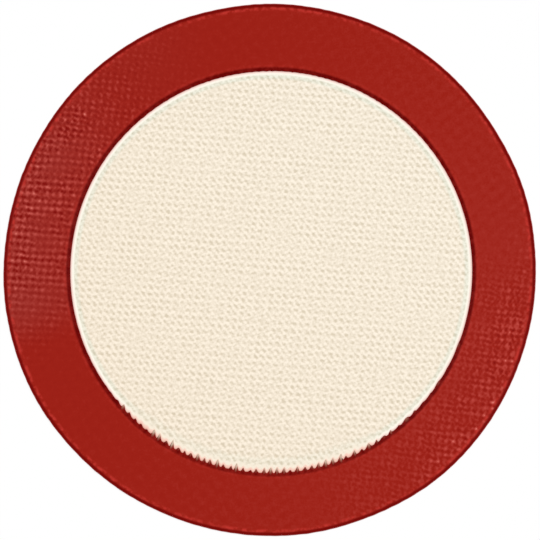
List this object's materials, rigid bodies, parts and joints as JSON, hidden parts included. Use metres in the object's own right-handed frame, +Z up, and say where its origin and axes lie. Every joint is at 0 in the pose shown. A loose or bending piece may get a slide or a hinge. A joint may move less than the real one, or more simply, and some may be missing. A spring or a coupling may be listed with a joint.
{
  "type": "silicone baking mat",
  "caption": "Round non-stick baking mat: a woven glass cloth between two silicone coats, with a printed border ring and a sealed rim.",
  "frame": {"origin": "centre of the mat's underside, on the surface that the mat lies on", "axes": "+Z up, square to the mat; +Y along the warp of the glass cloth; +X along the weft"},
  "size_m": [0.2, 0.2, 0.0007],
  "materials": {
    "glass_yarn": "satin",
    "pale_silicone": "satin",
    "red_silicone": "satin"
  },
  "bodies": {
    "root": {"warp_yarns": "glass_yarn", "weft_yarns": "glass_yarn", "bottom_coat": "pale_silicone", "top_coat": "pale_silicone", "border_print": "red_silicone", "edge_seal": "red_silicone"}
  },
  "joints": []
}
